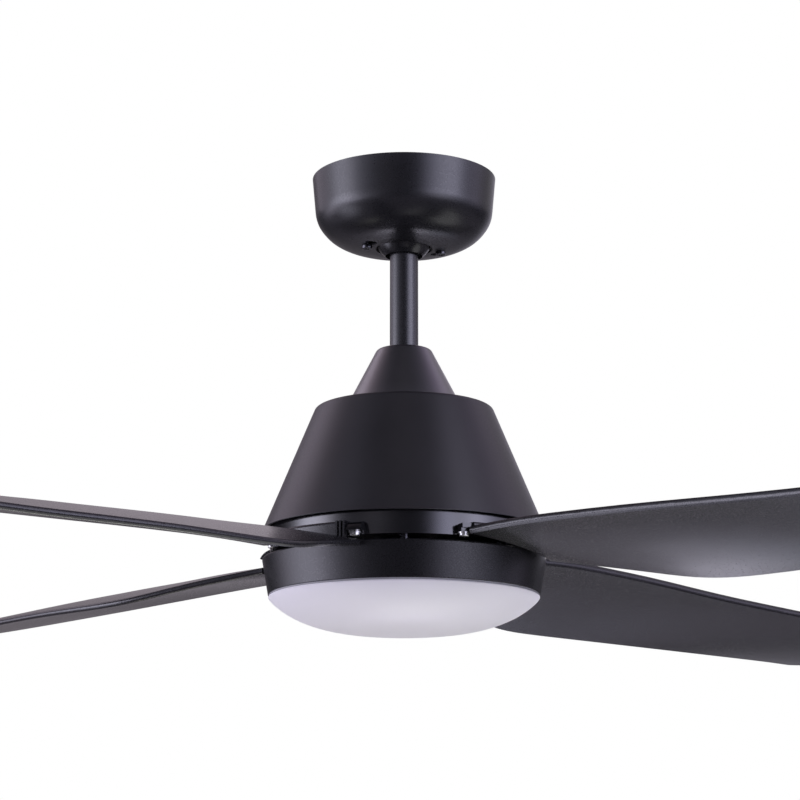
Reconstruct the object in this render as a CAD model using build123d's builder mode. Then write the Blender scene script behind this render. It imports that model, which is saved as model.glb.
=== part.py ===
from build123d import *
import math
import os

os.makedirs("parts", exist_ok=True)

# ---------------------------------------------------------------------------
# Ceiling fan with light. Millimetres, +Z up.
# Origin: middle of the ceiling bracket's top face, on the fan's axis.
# ---------------------------------------------------------------------------

# --- driving dimensions ----------------------------------------------------
SPAN_R = 660.0            # blade tip radius, a 52 inch (1320 mm) fan
BLADES = 4
BLADE_AZ0 = -41.4         # azimuth of the first blade, degrees

CANOPY_R = 69.3           # canopy rim radius
CANOPY_T = 1.2            # canopy sheet
CANOPY_HOLE_R = 21.3
CANOPY_SCREW_R = 29.0     # canopy screws, radius from the axis
CANOPY_SCREW_AZ = 17.0

BALL_R = 23.3             # hanger ball
BALL_Z = -42.0            # its centre, the tilt centre
LINER_T = 0.62            # nylon liner between ball and bracket seat
FIT = 0.06                # running clearance of the ball joint

SLOT_SPACING = 76.0       # ceiling slots in the bracket
SLOT_W = 5.5
SLOT_L = 14.0

ROD_R = 10.65             # 1/2 inch pipe, 21.3 mm outside
ROD_WALL = 2.3
ROD_TOP = -30.0
ROD_BOTTOM = -168.0

COVER_TOP_Z = -133.3      # small cone, the coupling cover
COVER_BOT_Z = -174.6
COVER_TOP_R = 21.6
COVER_BOT_R = 41.5
COVER_T = 1.2

CONE_TOP_Z = -174.7       # large cone, the motor cover
CONE_BOT_Z = -271.0
CONE_BOT_R = 103.9
CONE_SLOPE = 0.413        # radius gained per millimetre down
CONE_CROWN = 0.19         # fall of the cover's top per millimetre outwards
CONE_CORNER = 3.6
CONE_T = 1.5

SHAFT_R = 8.5             # hollow fixed shaft
SHAFT_BORE = 5.0
SHAFT_TOP = -172.0
SHAFT_BOT = -307.0

DRUM_R = 98.4             # blade carrier, outside
DRUM_TOP = -269.0
DRUM_BOT = -287.4
DRUM_WALL = 3.0

EAR_R = 107.0             # blade seats on the carrier
EAR_TOP = -283.6
EAR_BOT = -286.2
PLATE_TOP_Z = -281.6      # steel blade bracket on each seat
PLATE_IN_R = 99.2
# Angles about a blade's centre line, degrees, - towards its leading edge.
EAR_AZ = (-26.9, 25.7)
PLATE_AZ = (-26.7, 25.5)
LEAD_LUG_AZ = (-26.7, -22.9)
TRAIL_LUG_AZ = (20.0, 25.5)
CAP_AZ = (-22.6, 15.8)
RIB_AZ = (15.8, 19.7)
BLADE_SCREW_R = 102.8
BLADE_SCREW_AZ = (-24.8, 0.0, 21.9)

ROOT_R = 110.4            # inner end of the blade proper
CAP_R = 110.8             # outer wall of the cap over the bracket
CAP_TOP = -279.5
CAP_ROUND = 2.0
CAP_IN_R = 107.3

RING_TOP_Z = -291.8       # light housing
RING_TOP_R = 104.2
RING_BOT_Z = -318.3
RING_BOT_R = 99.6
RING_T = 1.6

LENS_RIM_Z = -319.5
LENS_BOT_Z = -345.5
LENS_T = 2.2

BEARING_D = 17.0          # 6203 ball bearing: 17 x 40 x 12
BEARING_OD = 40.0
BEARING_W = 12.0
UPPER_BRG_Z = -240.0      # lower face of each bearing
LOWER_BRG_Z = -283.0

# blade stations: radius, leading edge offset and height, trailing edge offset
# and height, crown of the upper face, crown of the lower face.
# Offsets are square to the blade's axis, + towards the leading edge.
# Heights are of the upper face, measured from the motor cover's lower rim.
BLADE_STATIONS = [
    (96.0, 44.6, -11.9, -44.0, -21.0, -3.0, 0.8),
    (110.0, 45.6, -11.6, -49.3, -23.0, -3.6, 0.5),
    (140.0, 47.9, -11.0, -62.8, -28.0, -5.0, -1.4),
    (170.0, 49.2, -11.2, -75.0, -33.4, -6.0, -2.9),
    (200.0, 50.2, -11.9, -84.5, -38.4, -6.8, -4.1),
    (230.0, 51.2, -12.8, -88.6, -40.6, -7.0, -4.7),
    (260.0, 51.8, -13.9, -88.2, -41.0, -6.7, -4.8),
    (300.0, 52.0, -15.5, -85.5, -40.9, -6.0, -4.2),
    (350.0, 52.8, -17.4, -79.3, -41.1, -5.4, -2.4),
    (410.0, 55.0, -19.2, -70.9, -41.5, -4.4, 0.0),
    (470.0, 57.4, -20.8, -66.4, -41.3, -2.4, 2.0),
    (530.0, 59.0, -21.6, -64.8, -40.6, -0.5, 3.2),
    (590.0, 59.2, -21.2, -64.4, -39.9, 0.8, 3.6),
    (668.0, 57.6, -20.0, -64.2, -39.0, 1.4, 3.6),
]
LEAD_T = 5.4              # blade thickness at the leading edge
TRAIL_T = 4.8             # and at the trailing edge
TIP_CORNER = 34.0


def polar(radius, degrees, z=0.0):
    a = math.radians(degrees)
    return (radius * math.cos(a), radius * math.sin(a), z)


def turned(z, degrees):
    """Horizontal plane at height z, its X axis turned about the fan's axis."""
    a = math.radians(degrees)
    return Plane(origin=(0, 0, z), x_dir=(math.cos(a), math.sin(a), 0), z_dir=(0, 0, 1))


def radial_plane(degrees):
    """Upright plane through the axis: its X runs outwards, its Y runs up."""
    a = math.radians(degrees)
    return Plane(
        origin=(0, 0, 0),
        x_dir=(math.cos(a), math.sin(a), 0),
        z_dir=(math.sin(a), -math.cos(a), 0),
    )


def offset_in(points, t):
    """Points t inside a profile that runs from its rim down and inwards."""
    out = []
    n = len(points)
    for i, (r, z) in enumerate(points):
        r0, z0 = points[max(i - 1, 0)]
        r1, z1 = points[min(i + 1, n - 1)]
        dr, dz = r1 - r0, z1 - z0
        length = math.hypot(dr, dz)
        out.append((r + t * dz / length, z - t * dr / length))
    return out


def between(angles):
    """Middle and half of a pair of angles."""
    return (angles[0] + angles[1]) / 2, (angles[1] - angles[0]) / 2


def sector(radius_in, radius_out, half, z, az):
    """Flat sector of a ring at height z, centred on azimuth az."""
    with BuildSketch(turned(z, az)) as flat:
        with BuildLine():
            p = [polar(radius_in, -half), polar(radius_in, 0), polar(radius_in, half)]
            q = [polar(radius_out, half), polar(radius_out, 0), polar(radius_out, -half)]
            ThreePointArc(p[0][:2], p[1][:2], p[2][:2])
            Line(p[2][:2], q[0][:2])
            ThreePointArc(q[0][:2], q[1][:2], q[2][:2])
            Line(q[2][:2], p[0][:2])
        make_face()
    return flat.sketch


def save(builder, name):
    builder.part.label = name
    export_step(builder.part, "parts/" + name + ".step")


# ---------------------------------------------------------------------------
# Ceiling bracket: a steel yoke. Its top strap bolts to the ceiling and its
# lower plate carries the spherical seat of the hanger ball. The seat is open
# towards +Y, so that the ball can be hooked in with the rod on it.
# ---------------------------------------------------------------------------
BRK_T = 2.5
BRK_LOW = -52.5
LEG_X = 30.75
SEAT_R = BALL_R + FIT + LINER_T + FIT
with BuildPart() as ceiling_bracket:
    with BuildSketch(Plane.XY.offset(-BRK_T)):
        RectangleRounded(104, 40, 6)
        with Locations((-SLOT_SPACING / 2, 0), (SLOT_SPACING / 2, 0)):
            SlotOverall(SLOT_L, SLOT_W, mode=Mode.SUBTRACT)
        with Locations((0, 11)):
            Circle(5.0, mode=Mode.SUBTRACT)
    extrude(amount=BRK_T)
    # two legs
    with BuildSketch(Plane.XY.offset(BRK_LOW)):
        with Locations((-LEG_X - BRK_T / 2, 0), (LEG_X + BRK_T / 2, 0)):
            Rectangle(BRK_T, 22)
    extrude(amount=-BRK_LOW - BRK_T + 0.5)
    # lower plate and seat collar
    with BuildSketch(Plane.XY.offset(BRK_LOW)):
        Circle(33.6)
        with Locations((0, 33.6), (0, -44)):
            Rectangle(90, 28, mode=Mode.SUBTRACT)
    extrude(amount=BRK_T)
    with BuildSketch(Plane.XY.offset(BRK_LOW)):
        Circle(26.6)
    extrude(amount=9.0)
    with Locations((0, 0, BALL_Z)):
        Sphere(SEAT_R, mode=Mode.SUBTRACT)
    # hooking slot for the rod, towards +Y
    with BuildSketch(Plane.XY.offset(BRK_LOW - 1)):
        with Locations((0, 25)):
            Rectangle(24.5, 50)
    extrude(amount=14, mode=Mode.SUBTRACT)
    # key that keeps the ball from turning
    with Locations((0, -24.05, BALL_Z + 0.5)):
        Box(1.8, 4.9, 4.0)
    # tapped holes for the canopy screws
    with Locations(turned(BRK_LOW - 1, CANOPY_SCREW_AZ)):
        with Locations((CANOPY_SCREW_R, 0, 0), (-CANOPY_SCREW_R, 0, 0)):
            Cylinder(2.02, 8, align=(Align.CENTER, Align.CENTER, Align.MIN), mode=Mode.SUBTRACT)
    # earth screw hole in the strap
    with Locations((-44, -12, -BRK_T)):
        Cylinder(1.6, 6, mode=Mode.SUBTRACT)
save(ceiling_bracket, "ceiling_bracket")

# ---------------------------------------------------------------------------
# Canopy: a spun steel cup that hides the bracket. Two keyhole slots pass the
# heads of the canopy screws, then it twists to lock.
# ---------------------------------------------------------------------------
canopy_outer = [
    (67.0, -26.4),
    (65.3, -34.0),
    (62.9, -38.4),
    (59.9, -42.2),
    (56.4, -45.6),
    (52.0, -48.6),
    (46.5, -51.2),
    (40.0, -53.0),
    (30.5, -54.4),
    (CANOPY_HOLE_R, -55.0),
]
canopy_inner = offset_in([(CANOPY_R, -1.0)] + canopy_outer, CANOPY_T)
canopy_inner[-1] = (CANOPY_HOLE_R, -55.0 + CANOPY_T)
with BuildPart() as canopy:
    with BuildSketch(Plane.XZ):
        with BuildLine():
            Line((CANOPY_R, -1.0), canopy_outer[0])
            Spline(canopy_outer, tangents=((-2.3, -25.4), (-1.0, -0.05)))
            Line(canopy_outer[-1], canopy_inner[-1])
            Spline(canopy_inner[:0:-1], tangents=((1.0, 0.05), (2.3, 25.4)))
            Line(canopy_inner[1], (CANOPY_R - CANOPY_T, -1.0))
            Line((CANOPY_R - CANOPY_T, -1.0), (CANOPY_R, -1.0))
        make_face()
    revolve(axis=Axis.Z)
    for az in (CANOPY_SCREW_AZ, CANOPY_SCREW_AZ + 180.0):
        # narrow end of the keyhole under the screw, then the arc, then the eye
        for step in range(0, 13, 3):
            with Locations(Location(polar(CANOPY_SCREW_R, az + step, -60))):
                Cylinder(2.3, 14, align=(Align.CENTER, Align.CENTER, Align.MIN), mode=Mode.SUBTRACT)
        with Locations(Location(polar(CANOPY_SCREW_R, az + 15.5, -60))):
            Cylinder(4.4, 14, align=(Align.CENTER, Align.CENTER, Align.MIN), mode=Mode.SUBTRACT)
save(canopy, "canopy")

# ---------------------------------------------------------------------------
# Canopy screws, M4 pan head, up into the bracket's lower plate.
# ---------------------------------------------------------------------------
CANOPY_UNDER = -54.85
with BuildPart() as canopy_screws:
    for az in (CANOPY_SCREW_AZ, CANOPY_SCREW_AZ + 180.0):
        with Locations(Location(polar(CANOPY_SCREW_R, az, CANOPY_UNDER))):
            Cylinder(1.95, 9, align=(Align.CENTER, Align.CENTER, Align.MIN))
            Cylinder(3.9, 2.4, align=(Align.CENTER, Align.CENTER, Align.MAX))
        with Locations(Location(polar(CANOPY_SCREW_R, az, CANOPY_UNDER - 2.4), (0, 0, az + 40))):
            Box(5.2, 0.8, 1.6, mode=Mode.SUBTRACT)
            Box(0.8, 5.2, 1.6, mode=Mode.SUBTRACT)
    fillet(
        canopy_screws.edges().filter_by(GeomType.CIRCLE).filter_by(lambda e: abs(e.radius - 3.9) < 0.01).group_by(Axis.Z)[0],
        radius=0.9,
    )
save(canopy_screws, "canopy_screws")

# ---------------------------------------------------------------------------
# Terminal block, screwed to the outside of one leg.
# ---------------------------------------------------------------------------
BLOCK_X = LEG_X + BRK_T
with BuildPart() as terminal_block:
    with Locations((BLOCK_X + 6.0, 0, -22.0)):
        Box(12.0, 25.0, 14.0)
    with BuildSketch(Plane.XY.offset(-29.0)):
        with Locations((BLOCK_X + 6.0, -8), (BLOCK_X + 6.0, 0), (BLOCK_X + 6.0, 8)):
            Circle(2.4)
    extrude(amount=14, mode=Mode.SUBTRACT)
    with BuildSketch(Plane.YZ.offset(BLOCK_X + 12.0)):
        with Locations((-8, -18.5), (0, -18.5), (8, -18.5), (-8, -25.5), (0, -25.5), (8, -25.5)):
            Circle(1.7)
    extrude(amount=-2.5, mode=Mode.SUBTRACT)
save(terminal_block, "terminal_block")

with BuildPart() as earth_screw:
    with Locations((-44, -12, -BRK_T)):
        Cylinder(1.5, 2.5, align=(Align.CENTER, Align.CENTER, Align.MIN))
        Cylinder(3.0, 2.0, align=(Align.CENTER, Align.CENTER, Align.MAX))
save(earth_screw, "earth_screw")

# ---------------------------------------------------------------------------
# Ball seat liner: two thin nylon shoes, zones of a sphere, between ball and seat.
# ---------------------------------------------------------------------------
LIN_IN = BALL_R + FIT
LIN_OUT = BALL_R + FIT + LINER_T
a_hi, a_lo = math.radians(-5.0), math.radians(-25.5)
a_mid = (a_hi + a_lo) / 2


def arc_pt(radius, angle):
    return (radius * math.cos(angle), BALL_Z + radius * math.sin(angle))


with BuildPart() as ball_seat_liner:
    with BuildSketch(Plane.XZ):
        with BuildLine():
            ThreePointArc(arc_pt(LIN_OUT, a_hi), arc_pt(LIN_OUT, a_mid), arc_pt(LIN_OUT, a_lo))
            Line(arc_pt(LIN_OUT, a_lo), arc_pt(LIN_IN, a_lo))
            ThreePointArc(arc_pt(LIN_IN, a_lo), arc_pt(LIN_IN, a_mid), arc_pt(LIN_IN, a_hi))
            Line(arc_pt(LIN_IN, a_hi), arc_pt(LIN_OUT, a_hi))
        make_face()
    revolve(axis=Axis.Z)
    # two shoes: open where the rod hooks in, and at the key opposite
    with Locations((0, 25, BALL_Z)):
        Box(26.0, 50.0, 60.0, mode=Mode.SUBTRACT)
    with Locations((0, -25, BALL_Z)):
        Box(6.0, 50.0, 60.0, mode=Mode.SUBTRACT)
save(ball_seat_liner, "ball_seat_liner")

# ---------------------------------------------------------------------------
# Hanger ball: moulded, flat on top, bored for the rod, with a slot for the
# cross pin.
# ---------------------------------------------------------------------------
PIN_Z = -37.0
with BuildPart() as keyway:
    with Locations((0, -20.0, BALL_Z)):
        Box(7.0, 20.0, 21.0)
    with Locations((0, 0, BALL_Z)):
        Sphere(21.1, mode=Mode.SUBTRACT)

with BuildPart() as hanger_ball:
    with Locations((0, 0, BALL_Z)):
        Sphere(BALL_R)
    with BuildSketch(Plane.XY.offset(-26.5)):
        Circle(40)
    extrude(amount=30, mode=Mode.SUBTRACT)
    with Locations((0, 0, BALL_Z)):
        Cylinder(ROD_R, 80, mode=Mode.SUBTRACT)
    # counterbore around the rod, from below
    with BuildSketch(Plane.XY.offset(-70.0)):
        Circle(14.0)
    extrude(amount=13.5, mode=Mode.SUBTRACT)
    # bore of the cross pin, closed outside by the seat
    with Locations(Location((0, 0, PIN_Z), (0, 90, 0))):
        Cylinder(3.0, 60, mode=Mode.SUBTRACT)
    # keyway that stops the ball turning about the rod
    add(keyway.part, mode=Mode.SUBTRACT)
save(hanger_ball, "hanger_ball")

with BuildPart() as ball_cross_pin:
    with Locations(Location((0, 0, PIN_Z), (0, 90, 0))):
        Cylinder(3.0, 42.0)
    chamfer(ball_cross_pin.edges().filter_by(GeomType.CIRCLE), 0.5)
save(ball_cross_pin, "ball_cross_pin")

# ---------------------------------------------------------------------------
# Downrod: 1/2 inch steel pipe, cross drilled at both ends.
# ---------------------------------------------------------------------------
CLEVIS_Z = -158.0
with BuildPart() as downrod:
    with BuildSketch(Plane.XY.offset(ROD_BOTTOM)):
        Circle(ROD_R)
        Circle(ROD_R - ROD_WALL, mode=Mode.SUBTRACT)
    extrude(amount=ROD_TOP - ROD_BOTTOM)
    with Locations(Location((0, 0, PIN_Z), (0, 90, 0)), Location((0, 0, CLEVIS_Z), (0, 90, 0))):
        Cylinder(3.0, 60, mode=Mode.SUBTRACT)
save(downrod, "downrod")

# ---------------------------------------------------------------------------
# Coupling cover: the small cone that sits on the motor cover.
# ---------------------------------------------------------------------------


def cone_r(z):
    return COVER_TOP_R + (COVER_BOT_R - COVER_TOP_R) * (z - (COVER_TOP_Z - 2.9)) / (COVER_BOT_Z - (COVER_TOP_Z - 2.9))


with BuildPart() as coupling_cover:
    with BuildSketch(Plane.XZ):
        with BuildLine():
            Line((ROD_R + 0.35, COVER_TOP_Z), (cone_r(COVER_TOP_Z), COVER_TOP_Z))
            Line((cone_r(COVER_TOP_Z), COVER_TOP_Z), (COVER_BOT_R, COVER_BOT_Z))
            Line((COVER_BOT_R, COVER_BOT_Z), (COVER_BOT_R - 1.4, COVER_BOT_Z))
            Line(
                (COVER_BOT_R - 1.4, COVER_BOT_Z),
                (cone_r(COVER_TOP_Z - COVER_T) - 1.4, COVER_TOP_Z - COVER_T),
            )
            Line((cone_r(COVER_TOP_Z - COVER_T) - 1.4, COVER_TOP_Z - COVER_T), (ROD_R + 0.35, COVER_TOP_Z - COVER_T))
            Line((ROD_R + 0.35, COVER_TOP_Z - COVER_T), (ROD_R + 0.35, COVER_TOP_Z))
        make_face()
    revolve(axis=Axis.Z)
    top_edge = coupling_cover.edges().filter_by(GeomType.CIRCLE).group_by(Axis.Z)[-1].sort_by(SortBy.RADIUS)[-1]
    fillet(top_edge, radius=4.0)
save(coupling_cover, "coupling_cover")

# ---------------------------------------------------------------------------
# Yoke: the casting that clamps the rod above and the fixed shaft below, and
# carries the motor cover on its flange.
# ---------------------------------------------------------------------------
YOKE_FLANGE_TOP = CONE_TOP_Z - CONE_T * math.hypot(1.0, CONE_CROWN)
with BuildPart() as motor_yoke:
    with BuildSketch(Plane.XZ):
        with BuildLine():
            Polyline(
                (ROD_R, -147.0),
                (15.6, -147.0),
                (15.6, YOKE_FLANGE_TOP),
                (35.0, YOKE_FLANGE_TOP),
                (35.0, YOKE_FLANGE_TOP - 4.0),
                (15.6, YOKE_FLANGE_TOP - 4.0),
                (15.6, -200.0),
                (SHAFT_R, -200.0),
                (SHAFT_R, -172.0),
                (SHAFT_BORE, -172.0),
                (SHAFT_BORE, ROD_BOTTOM),
                (ROD_R, ROD_BOTTOM),
                close=True,
            )
        make_face()
    revolve(axis=Axis.Z)
    with Locations(Location((0, 0, CLEVIS_Z), (0, 90, 0))):
        Cylinder(3.0, 60, mode=Mode.SUBTRACT)
    with Locations(Location((0, 0, -190.0), (90, 0, 0))):
        Cylinder(2.5, 60, mode=Mode.SUBTRACT)
    with BuildSketch(Plane.XY.offset(YOKE_FLANGE_TOP - 10)):
        with PolarLocations(28.0, 3, start_angle=30):
            Circle(2.0)
    extrude(amount=20, mode=Mode.SUBTRACT)
save(motor_yoke, "motor_yoke")

CLIP_X = 18.2
with BuildPart() as clevis_pin:
    with Locations(Location((0, 0, CLEVIS_Z), (0, 90, 0))):
        Cylinder(3.0, 41.0)
    with Locations(Location((-19.5, 0, CLEVIS_Z), (0, 90, 0))):
        Cylinder(4.6, 2.0)
    with Locations((CLIP_X, 0, CLEVIS_Z)):
        Cylinder(0.8, 10, mode=Mode.SUBTRACT)
save(clevis_pin, "clevis_pin")

with BuildPart() as clevis_clip:
    with Locations((CLIP_X, 0, CLEVIS_Z)):
        Cylinder(0.75, 11.0)
    with Locations(Location((CLIP_X, 0, CLEVIS_Z - 7.2), (0, 90, 0))):
        Torus(2.0, 0.75)
save(clevis_clip, "clevis_clip")

with BuildPart() as yoke_set_screws:
    with Locations(Location((0, -12.6, -190.0), (90, 0, 0)), Location((0, 12.6, -190.0), (90, 0, 0))):
        Cylinder(2.5, 8.2)
save(yoke_set_screws, "yoke_set_screws")

# ---------------------------------------------------------------------------
# Motor cover: the large spun cone. It hangs from the yoke flange and stays
# still; its skirt hides the rotor.
# ---------------------------------------------------------------------------
CROWN_R = COVER_BOT_R       # the crown begins at the coupling cover's foot
SHOULDER_R = (
    CONE_BOT_R - CONE_SLOPE * (CONE_TOP_Z - CONE_BOT_Z) - CONE_SLOPE * CONE_CROWN * CROWN_R
) / (1.0 - CONE_SLOPE * CONE_CROWN)
SHOULDER_Z = CONE_TOP_Z - CONE_CROWN * (SHOULDER_R - CROWN_R)
WALL_IN = CONE_T * math.hypot(1.0, CONE_SLOPE)      # the wall measured level
CROWN_IN = CONE_T * math.hypot(1.0, CONE_CROWN)     # the crown measured upright
INNER_R = (
    CONE_BOT_R - WALL_IN - CONE_SLOPE * (CONE_TOP_Z - CROWN_IN - CONE_BOT_Z) - CONE_SLOPE * CONE_CROWN * CROWN_R
) / (1.0 - CONE_SLOPE * CONE_CROWN)
INNER_Z = CONE_TOP_Z - CROWN_IN - CONE_CROWN * (INNER_R - CROWN_R)
with BuildPart() as motor_cover:
    with BuildSketch(Plane.XZ):
        with BuildLine():
            Polyline(
                (15.9, CONE_TOP_Z),
                (CROWN_R, CONE_TOP_Z),
                (SHOULDER_R, SHOULDER_Z),
                (CONE_BOT_R, CONE_BOT_Z),
                (CONE_BOT_R - WALL_IN, CONE_BOT_Z),
                (INNER_R, INNER_Z),
                (CROWN_R, CONE_TOP_Z - CROWN_IN),
                (15.9, CONE_TOP_Z - CROWN_IN),
                close=True,
            )
        make_face()
    revolve(axis=Axis.Z)
    rounds = motor_cover.edges().filter_by(GeomType.CIRCLE)
    fillet(rounds.filter_by(lambda e: abs(e.radius - SHOULDER_R) < 0.01), radius=CONE_CORNER)
    rounds = motor_cover.edges().filter_by(GeomType.CIRCLE)
    fillet(rounds.filter_by(lambda e: abs(e.radius - INNER_R) < 0.01), radius=CONE_CORNER - CONE_T)
    rounds = motor_cover.edges().filter_by(GeomType.CIRCLE)
    fillet(
        rounds.filter_by(lambda e: e.center().Z < CONE_BOT_Z + 0.01 and e.radius > CONE_BOT_R - 0.1),
        radius=0.3,
    )
    with BuildSketch(Plane.XY.offset(CONE_TOP_Z - 5)):
        with PolarLocations(28.0, 3, start_angle=30):
            Circle(2.2)
    extrude(amount=10, mode=Mode.SUBTRACT)
save(motor_cover, "motor_cover")

with BuildPart() as motor_cover_screws:
    with BuildSketch(Plane.XY.offset(CONE_TOP_Z)):
        with PolarLocations(28.0, 3, start_angle=30):
            Circle(3.8)
    extrude(amount=2.3)
    with BuildSketch(Plane.XY.offset(CONE_TOP_Z)):
        with PolarLocations(28.0, 3, start_angle=30):
            Circle(2.0)
    extrude(amount=-5.4)
save(motor_cover_screws, "motor_cover_screws")

# ---------------------------------------------------------------------------
# Motor driver: a moulded round box under the yoke flange.
# ---------------------------------------------------------------------------
with BuildPart() as motor_driver:
    with BuildSketch(Plane.XY.offset(-206.0)):
        Circle(52.0)
        Circle(17.0, mode=Mode.SUBTRACT)
    extrude(amount=25.7)
    fillet(motor_driver.edges().filter_by(GeomType.CIRCLE).filter_by(lambda e: e.radius > 50), radius=2.5)
    with BuildSketch(Plane.XY.offset(-206.0)):
        with PolarLocations(36.0, 18):
            SlotOverall(16.0, 1.8)
    extrude(amount=2.0, mode=Mode.SUBTRACT)
save(motor_driver, "motor_driver")

# ---------------------------------------------------------------------------
# Fixed hollow shaft.
# ---------------------------------------------------------------------------
with BuildPart() as motor_shaft:
    with BuildSketch(Plane.XY.offset(SHAFT_BOT)):
        Circle(SHAFT_R)
        Circle(SHAFT_BORE, mode=Mode.SUBTRACT)
    extrude(amount=SHAFT_TOP - SHAFT_BOT)
    # wire window above the stator
    with Locations(Location((0, 0, -214.0), (90, 0, 0))):
        Cylinder(3.2, 60, mode=Mode.SUBTRACT)
save(motor_shaft, "motor_shaft")

# ---------------------------------------------------------------------------
# Stator: hub, slotted core, coils.
# ---------------------------------------------------------------------------
STATOR_LOW, STATOR_HIGH = -268.0, -249.0
TEETH = 12
with BuildPart() as stator_hub:
    with BuildSketch(Plane.XY.offset(STATOR_LOW + 2)):
        Circle(24.0)
        Circle(SHAFT_R, mode=Mode.SUBTRACT)
        with PolarLocations(18.0, 6):
            Circle(3.2, mode=Mode.SUBTRACT)
    extrude(amount=STATOR_HIGH - STATOR_LOW - 4)
    # sleeve that spaces the two inner races
    with BuildSketch(Plane.XY.offset(LOWER_BRG_Z + BEARING_W)):
        Circle(12.0)
        Circle(SHAFT_R, mode=Mode.SUBTRACT)
    extrude(amount=UPPER_BRG_Z - LOWER_BRG_Z - BEARING_W)
save(stator_hub, "stator_hub")

with BuildPart() as stator_core:
    with BuildSketch(Plane.XY.offset(STATOR_LOW)):
        Circle(33.0)
        with PolarLocations(46.0, TEETH):
            Rectangle(30.0, 8.0)
        with BuildSketch(Plane.XY.offset(STATOR_LOW), mode=Mode.ADD):
            Circle(63.0)
            Circle(57.5, mode=Mode.SUBTRACT)
            with PolarLocations(60.0, TEETH, start_angle=180.0 / TEETH):
                Rectangle(14.0, 3.0, mode=Mode.SUBTRACT)
        Circle(24.0, mode=Mode.SUBTRACT)
    extrude(amount=STATOR_HIGH - STATOR_LOW)
save(stator_core, "stator_core")

with BuildPart() as stator_windings:
    with BuildSketch(Plane.XY.offset(STATOR_LOW - 3.5)):
        with PolarLocations(45.5, TEETH):
            RectangleRounded(20.0, 14.4, 2.0)
    extrude(amount=STATOR_HIGH - STATOR_LOW + 7.0)
    with BuildSketch(Plane.XY.offset(STATOR_LOW)):
        with PolarLocations(45.5, TEETH):
            Rectangle(24.0, 8.0)
    extrude(amount=STATOR_HIGH - STATOR_LOW, mode=Mode.SUBTRACT)
    # keep the coils apart from each other near the hub
    with BuildSketch(Plane.XY.offset(STATOR_LOW - 5)):
        with PolarLocations(45.0, TEETH, start_angle=180.0 / TEETH):
            Rectangle(34.0, 3.6)
    extrude(amount=STATOR_HIGH - STATOR_LOW + 10.0, mode=Mode.SUBTRACT)
save(stator_windings, "stator_windings")

# ---------------------------------------------------------------------------
# Rotor: back iron, magnets, two shells bolted together at their flanges.
# ---------------------------------------------------------------------------
with BuildPart() as shaft_retaining_ring:
    with BuildSketch(Plane.XY.offset(UPPER_BRG_Z + BEARING_W)):
        Circle(10.1)
        Circle(SHAFT_R, mode=Mode.SUBTRACT)
        with Locations((9.3, 0)):
            Rectangle(3.0, 3.0, mode=Mode.SUBTRACT)
    extrude(amount=1.2)
save(shaft_retaining_ring, "shaft_retaining_ring")

with BuildPart() as rotor_back_iron:
    with BuildSketch(Plane.XY.offset(-270.0)):
        Circle(71.0)
        Circle(68.2, mode=Mode.SUBTRACT)
    extrude(amount=23.0)
save(rotor_back_iron, "rotor_back_iron")

MAGNETS = 14
with BuildPart() as rotor_magnets:
    with BuildSketch(Plane.XY.offset(-269.0)):
        Circle(68.2)
        Circle(64.2, mode=Mode.SUBTRACT)
        with PolarLocations(66.0, MAGNETS):
            Rectangle(10.0, 2.0, mode=Mode.SUBTRACT)
    extrude(amount=21.0)
save(rotor_magnets, "rotor_magnets")

SHELL_SPLIT = -250.0
with BuildPart() as rotor_upper_shell:
    with BuildSketch(Plane.XZ):
        with BuildLine():
            Polyline(
                (10.5, -225.0),
                (25.0, -225.0),
                (27.0, -228.0),
                (70.0, -228.0),
                (74.0, -232.0),
                (74.0, SHELL_SPLIT + 3.0),
                (80.5, SHELL_SPLIT + 3.0),
                (80.5, SHELL_SPLIT),
                (71.0, SHELL_SPLIT),
                (71.0, -233.0),
                (68.0, -231.0),
                (24.0, -231.0),
                (24.0, UPPER_BRG_Z),
                (BEARING_OD / 2, UPPER_BRG_Z),
                (BEARING_OD / 2, UPPER_BRG_Z + BEARING_W),
                (10.5, UPPER_BRG_Z + BEARING_W),
                close=True,
            )
        make_face()
    revolve(axis=Axis.Z)
    with BuildSketch(Plane.XY.offset(SHELL_SPLIT - 1)):
        with PolarLocations(77.2, 6):
            Circle(1.7)
    extrude(amount=6, mode=Mode.SUBTRACT)
    # cooling windows
    with BuildSketch(Plane.XY.offset(-233)):
        with PolarLocations(49.0, 8):
            SlotOverall(26.0, 6.0)
    extrude(amount=7, mode=Mode.SUBTRACT)
save(rotor_upper_shell, "rotor_upper_shell")

with BuildPart() as rotor_lower_shell:
    with BuildSketch(Plane.XZ):
        with BuildLine():
            Polyline(
                (10.5, -286.2),
                (74.0, -286.2),
                (74.0, -284.4),
                (86.0, -284.4),
                (86.0, -281.4),
                (74.0, -281.4),
                (74.0, SHELL_SPLIT - 3.0),
                (80.5, SHELL_SPLIT - 3.0),
                (80.5, SHELL_SPLIT),
                (71.0, SHELL_SPLIT),
                (71.0, -283.2),
                (24.0, -283.2),
                (24.0, LOWER_BRG_Z + BEARING_W),
                (BEARING_OD / 2, LOWER_BRG_Z + BEARING_W),
                (BEARING_OD / 2, LOWER_BRG_Z),
                (10.5, LOWER_BRG_Z),
                close=True,
            )
        make_face()
    revolve(axis=Axis.Z)
    with BuildSketch(Plane.XY.offset(SHELL_SPLIT - 5)):
        with PolarLocations(77.2, 6):
            Circle(1.5)
    extrude(amount=6, mode=Mode.SUBTRACT)
    with BuildSketch(Plane.XY.offset(-290)):
        with PolarLocations(81.0, 6, start_angle=30):
            Circle(2.0)
    extrude(amount=12, mode=Mode.SUBTRACT)
save(rotor_lower_shell, "rotor_lower_shell")

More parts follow.
